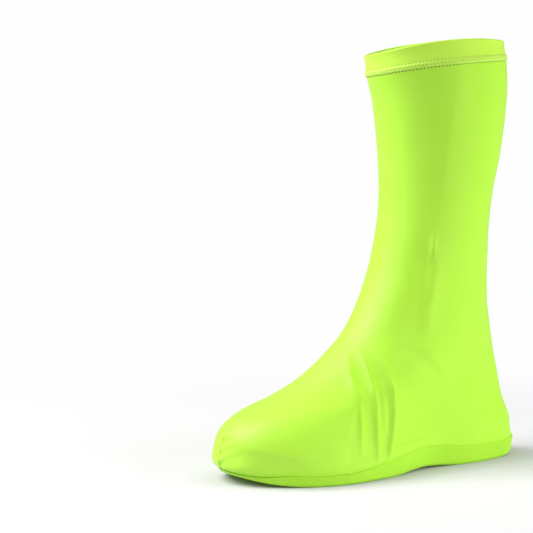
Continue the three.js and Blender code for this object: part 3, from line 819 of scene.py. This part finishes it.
# Polyester thread: bright filament, a little paler than the knit, with a fine twist.
thread, tree = new_material("polyester thread, lime")
where = add_node(tree, "ShaderNodeTexCoord")
twist = add_node(tree, "ShaderNodeTexNoise", Vector=where.outputs["Object"], Scale=1000 / thread_twist_mm,
                 Detail=2.0)
tint = add_node(tree, "ShaderNodeMix", {"data_type": "RGBA"}, n0=twist.outputs["Fac"],
                n6=linear_colour(thread_dark), n7=linear_colour(thread_light))
strands = add_node(tree, "ShaderNodeBump", Height=twist.outputs["Fac"], Strength=0.3, Distance=0.0002)
shader = add_node(tree, "ShaderNodeBsdfPrincipled", Base_Color=tint.outputs[2], Roughness=0.45,
                  IOR=1.5, Sheen_Weight=0.3, Normal=strands.outputs["Normal"])
add_node(tree, "ShaderNodeOutputMaterial", Surface=shader.outputs["BSDF"])

ridge = shaped_grid(seam_columns, seam_rows, seam_points, close_rows=True)
bmesh.ops.recalc_face_normals(ridge, faces=ridge.faces[:])
# The ridge wears the hem's knit, with its painted light.
hem_seam = new_piece("hem_seam_ridge", ridge, hem_knit)
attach(hem_seam, "root")
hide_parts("hem_seam")


# The stitches are spaced by their distance round the seam, a whole number of them.
whole_degrees = np.arange(0, 361, 1.0)
round_seam = np.linalg.norm(np.diff(seam_surface(whole_degrees, 0, 0), axis=0), axis=1)
stitch_count = round(round_seam.sum() / stitch_pitch_mm)
walk = np.concatenate([[0], round_seam.cumsum()]) / round_seam.sum()


def stitch_angle(stitch):
    """Angle round the leg at a number of stitches from the front."""
    return np.interp(stitch / stitch_count, walk, whole_degrees)


threads = bpy.data.curves.new("hem_threads", "CURVE")
threads.dimensions = "3D"
threads.bevel_depth = thread_mm / 2 / 1000
threads.bevel_resolution = 1


def lay_thread(points):
    """Run one closed thread through points in mm."""
    line = threads.splines.new("POLY")
    line.points.add(len(points) - 1)
    placed = (points + outline_to_frame_mm) / 1000
    line.points.foreach_set("co", np.column_stack([placed, np.ones(len(points))]).ravel())
    line.use_cyclic_u = True


steps = np.arange(stitch_count * steps_per_stitch) / steps_per_stitch
dip = np.abs(np.sin(math.pi * steps)) ** 0.5
for edge in (-needle_line, needle_line):
    needle_out = needle_rise_mm * dip - needle_sink_mm
    lay_thread(seam_surface(stitch_angle(steps), edge * seam_height_mm, needle_out))
crossing = np.arange(stitch_count * 2) / 2
side = np.where(np.arange(stitch_count * 2) % 2 == 0, -looper_line, looper_line) * seam_height_mm
lay_thread(seam_surface(stitch_angle(crossing), side, seam_proud_mm * looper_height))
hem_stitches = bpy.data.objects.new("hem_threads", threads)
bpy.context.scene.collection.objects.link(hem_stitches)
threads.materials.append(thread)
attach(hem_stitches, "root")


# The studio: a pale paper floor that runs on behind, and soft light from the left and the right.
# Near the cover the paper takes its shadow and glows a little, less so where the cover hides the
# open air, which leaves a dark line under the sole. Further away it is plain white.
floor_half_size_m = 6
paper_grey = "c2c0c2"
studio_white = "fefefe"
contact_shadow_m = 0.03
paper_glow = 0.29
white_from_m = 0.15
white_to_m = 0.6

floor_maker = bmesh.new()
bmesh.ops.create_grid(floor_maker, x_segments=1, y_segments=1, size=floor_half_size_m)
pale, tree = new_material("pale lit paper")
paper = add_node(tree, "ShaderNodeBsdfDiffuse", Color=linear_colour(paper_grey))
open_air = add_node(tree, "ShaderNodeAmbientOcclusion", {"samples": 8}, Distance=contact_shadow_m)
glow_power = add_node(tree, "ShaderNodeMath", {"operation": "MULTIPLY"}, n0=open_air.outputs["AO"],
                      n1=paper_glow)
glow = add_node(tree, "ShaderNodeEmission", Color=linear_colour(studio_white),
                Strength=glow_power.outputs[0])
near = add_node(tree, "ShaderNodeAddShader", n0=paper.outputs["BSDF"], n1=glow.outputs["Emission"])
seen = add_node(tree, "ShaderNodeLightPath")
# The far floor is full white to the camera, and lights the cover with a little over half of that.
far_power = add_node(tree, "ShaderNodeMath", {"operation": "MULTIPLY_ADD"},
                     n0=seen.outputs["Is Camera Ray"], n1=0.45, n2=0.55)
bright = add_node(tree, "ShaderNodeEmission", Color=linear_colour(studio_white),
                  Strength=far_power.outputs[0])
where = add_node(tree, "ShaderNodeTexCoord")
distance = add_node(tree, "ShaderNodeVectorMath", {"operation": "LENGTH"}, n0=where.outputs["Object"])
fade = add_node(tree, "ShaderNodeMapRange", {"interpolation_type": "SMOOTHSTEP"},
                Value=distance.outputs["Value"], From_Min=white_from_m, From_Max=white_to_m)
shader = add_node(tree, "ShaderNodeMixShader", Fac=fade.outputs[0], n1=near.outputs[0], n2=bright.outputs[0])
add_node(tree, "ShaderNodeOutputMaterial", Surface=shader.outputs["Shader"])
floor = new_piece("floor", floor_maker, pale)

# The room gives a dim light from all round, and is plain white behind for the camera.
world = bpy.data.worlds.new("studio")
world.use_nodes = True
sky = world.node_tree
sky.nodes.clear()
seen = add_node(sky, "ShaderNodeLightPath")
room = add_node(sky, "ShaderNodeBackground", Color=linear_colour(studio_white), Strength=0.2)
backdrop = add_node(sky, "ShaderNodeBackground", Color=linear_colour(studio_white), Strength=1.0)
both = add_node(sky, "ShaderNodeMixShader", Fac=seen.outputs["Is Camera Ray"], n1=room.outputs[0],
                n2=backdrop.outputs[0])
add_node(sky, "ShaderNodeOutputWorld", Surface=both.outputs["Shader"])
bpy.context.scene.world = world
bpy.context.scene.view_settings.view_transform = "Standard"

# The camera stands between the toe and the outer side, at the photo's viewing angle.
camera_azimuth = math.radians(55)
camera_distance_mm = 1700
camera_height_mm = 345
camera_pitch = math.radians(5.84)
camera_pan = math.radians(-2.96)
focal_px = 2019
image_px = 533
sensor_mm = 36

camera_data = bpy.data.cameras.new("camera")
camera_data.lens = focal_px / image_px * sensor_mm
camera_data.sensor_width = sensor_mm
camera_data.clip_start = 0.01
camera = bpy.data.objects.new("camera", camera_data)
bpy.context.scene.collection.objects.link(camera)
camera.location = Vector((camera_distance_mm * math.sin(camera_azimuth),
                          -camera_distance_mm * math.cos(camera_azimuth), camera_height_mm)) / 1000
camera.rotation_euler = (math.pi / 2 - camera_pitch, 0, camera_azimuth - camera_pan)
bpy.context.scene.camera = camera


def soft_light(name, side, ahead, height, size, power, aim_height=0.15, spread=180, shine=True):
    """An area light aimed at the cover, placed as the camera sees it, in metres and watts."""
    light_data = bpy.data.lights.new(name, "AREA")
    light_data.size = size
    light_data.energy = power
    light_data.spread = math.radians(spread)
    light = bpy.data.objects.new(name, light_data)
    bpy.context.scene.collection.objects.link(light)
    right = Vector((math.cos(camera_azimuth), math.sin(camera_azimuth), 0))
    towards_camera = Vector((math.sin(camera_azimuth), -math.cos(camera_azimuth), 0))
    light.location = right * side + towards_camera * ahead + Vector((0, 0, height))
    aim = Vector((0, 0, aim_height)) - light.location
    light.rotation_euler = aim.to_track_quat("-Z", "Y").to_euler()
    light.visible_glossy = shine


soft_light("key_left", side=-1.25, ahead=0.2, height=1.45, size=1.3, power=50)
soft_light("fill_right", side=1.35, ahead=0.2, height=0.48, size=0.9, power=13, shine=False)
soft_light("fill_low", side=0.9, ahead=0.7, height=0.22, size=0.5, power=0.2, aim_height=0.02, spread=42,
           shine=False)
